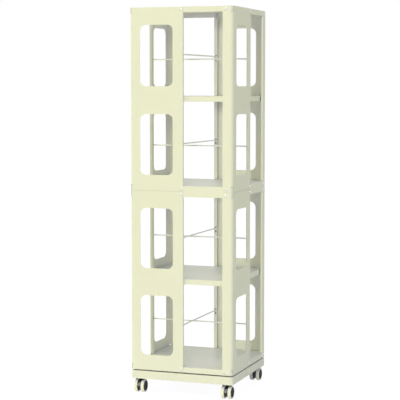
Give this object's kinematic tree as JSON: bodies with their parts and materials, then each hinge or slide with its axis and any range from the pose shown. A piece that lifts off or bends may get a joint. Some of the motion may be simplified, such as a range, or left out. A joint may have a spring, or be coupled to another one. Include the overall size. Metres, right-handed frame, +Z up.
{
  "type": "rotating bookshelf",
  "caption": "Tall square steel book tower with windowed corner panels, open bays on each side and cross rods, turning on a ball bearing over a low base that rolls on casters.",
  "frame": {"origin": "on the floor under the middle of the tower", "axes": "+Z up, -Y the front, +X to the right seen from the front"},
  "size_m": [0.406, 0.406, 1.4335],
  "materials": {
    "powder_coat": "pale cream-yellow satin powder coat",
    "zinc_steel": "bright zinc plated",
    "dark_steel": "black painted",
    "dark_plastic": "near-black moulded nylon",
    "pale_tread": "cream thermoplastic rubber"
  },
  "bodies": {
    "base": {"base_pan": "powder_coat", "base_floor": "powder_coat", "turntable_lower_race": "zinc_steel", "turntable_ball_ring": "zinc_steel", "pivot_bolt": "zinc_steel", "base_fasteners": "dark_steel", "caster_mount_fl": "dark_steel", "caster_mount_fr": "dark_steel", "caster_mount_bl": "dark_steel", "caster_mount_br": "dark_steel"},
    "tower": {"lower_panel_front": "powder_coat", "lower_panel_right": "powder_coat", "lower_panel_back": "powder_coat", "lower_panel_left": "powder_coat", "upper_panel_front": "powder_coat", "upper_panel_right": "powder_coat", "upper_panel_back": "powder_coat", "upper_panel_left": "powder_coat", "bottom_shelf": "powder_coat", "lower_mid_shelf": "powder_coat", "joint_shelf": "powder_coat", "upper_mid_shelf": "powder_coat", "top_cover": "powder_coat", "lower_low_rod_x": "powder_coat", "lower_low_rod_y": "powder_coat", "lower_high_rod_x": "powder_coat", "lower_high_rod_y": "powder_coat", "upper_low_rod_x": "powder_coat", "upper_low_rod_y": "powder_coat", "upper_high_rod_x": "powder_coat", "upper_high_rod_y": "powder_coat", "panel_bolts": "zinc_steel", "mid_shelf_screws": "zinc_steel", "weld_nuts": "zinc_steel", "turntable_upper_race": "zinc_steel", "turntable_nuts": "zinc_steel"},
    "caster_fl": {"caster_body_fl": "dark_plastic", "caster_axle_fl": "zinc_steel"},
    "caster_fr": {"caster_body_fr": "dark_plastic", "caster_axle_fr": "zinc_steel"},
    "caster_bl": {"caster_body_bl": "dark_plastic", "caster_axle_bl": "zinc_steel"},
    "caster_br": {"caster_body_br": "dark_plastic", "caster_axle_br": "zinc_steel"},
    "wheel_fl_l": {"hub_fl_l": "dark_plastic", "tyre_fl_l": "pale_tread"},
    "wheel_fl_r": {"hub_fl_r": "dark_plastic", "tyre_fl_r": "pale_tread"},
    "wheel_fr_l": {"hub_fr_l": "dark_plastic", "tyre_fr_l": "pale_tread"},
    "wheel_fr_r": {"hub_fr_r": "dark_plastic", "tyre_fr_r": "pale_tread"},
    "wheel_bl_l": {"hub_bl_l": "dark_plastic", "tyre_bl_l": "pale_tread"},
    "wheel_bl_r": {"hub_bl_r": "dark_plastic", "tyre_bl_r": "pale_tread"},
    "wheel_br_l": {"hub_br_l": "dark_plastic", "tyre_br_l": "pale_tread"},
    "wheel_br_r": {"hub_br_r": "dark_plastic", "tyre_br_r": "pale_tread"}
  },
  "joints": [
    {"name": "tower_turn", "type": "hinge", "parent": "base", "child": "tower", "pos_m": [0, 0, 0.09], "axis": [0, 0, 1], "continuous": true},
    {"name": "swivel_fl", "type": "hinge", "parent": "base", "child": "caster_fl", "pos_m": [-0.172, -0.166, 0.05], "axis": [0, 0, 1], "continuous": true},
    {"name": "swivel_fr", "type": "hinge", "parent": "base", "child": "caster_fr", "pos_m": [0.172, -0.166, 0.05], "axis": [0, 0, 1], "continuous": true},
    {"name": "swivel_bl", "type": "hinge", "parent": "base", "child": "caster_bl", "pos_m": [-0.172, 0.166, 0.05], "axis": [0, 0, 1], "continuous": true},
    {"name": "swivel_br", "type": "hinge", "parent": "base", "child": "caster_br", "pos_m": [0.172, 0.166, 0.05], "axis": [0, 0, 1], "continuous": true},
    {"name": "wheel_spin_fl_l", "type": "hinge", "parent": "caster_fl", "child": "wheel_fl_l", "pos_m": [-0.1852, -0.172, 0.024], "axis": [1, 0, 0], "continuous": true},
    {"name": "wheel_spin_fl_r", "type": "hinge", "parent": "caster_fl", "child": "wheel_fl_r", "pos_m": [-0.1588, -0.172, 0.024], "axis": [1, 0, 0], "continuous": true},
    {"name": "wheel_spin_fr_l", "type": "hinge", "parent": "caster_fr", "child": "wheel_fr_l", "pos_m": [0.1588, -0.172, 0.024], "axis": [1, 0, 0], "continuous": true},
    {"name": "wheel_spin_fr_r", "type": "hinge", "parent": "caster_fr", "child": "wheel_fr_r", "pos_m": [0.1852, -0.172, 0.024], "axis": [1, 0, 0], "continuous": true},
    {"name": "wheel_spin_bl_l", "type": "hinge", "parent": "caster_bl", "child": "wheel_bl_l", "pos_m": [-0.1852, 0.172, 0.024], "axis": [1, 0, 0], "continuous": true},
    {"name": "wheel_spin_bl_r", "type": "hinge", "parent": "caster_bl", "child": "wheel_bl_r", "pos_m": [-0.1588, 0.172, 0.024], "axis": [1, 0, 0], "continuous": true},
    {"name": "wheel_spin_br_l", "type": "hinge", "parent": "caster_br", "child": "wheel_br_l", "pos_m": [0.1588, 0.172, 0.024], "axis": [1, 0, 0], "continuous": true},
    {"name": "wheel_spin_br_r", "type": "hinge", "parent": "caster_br", "child": "wheel_br_r", "pos_m": [0.1852, 0.172, 0.024], "axis": [1, 0, 0], "continuous": true}
  ]
}
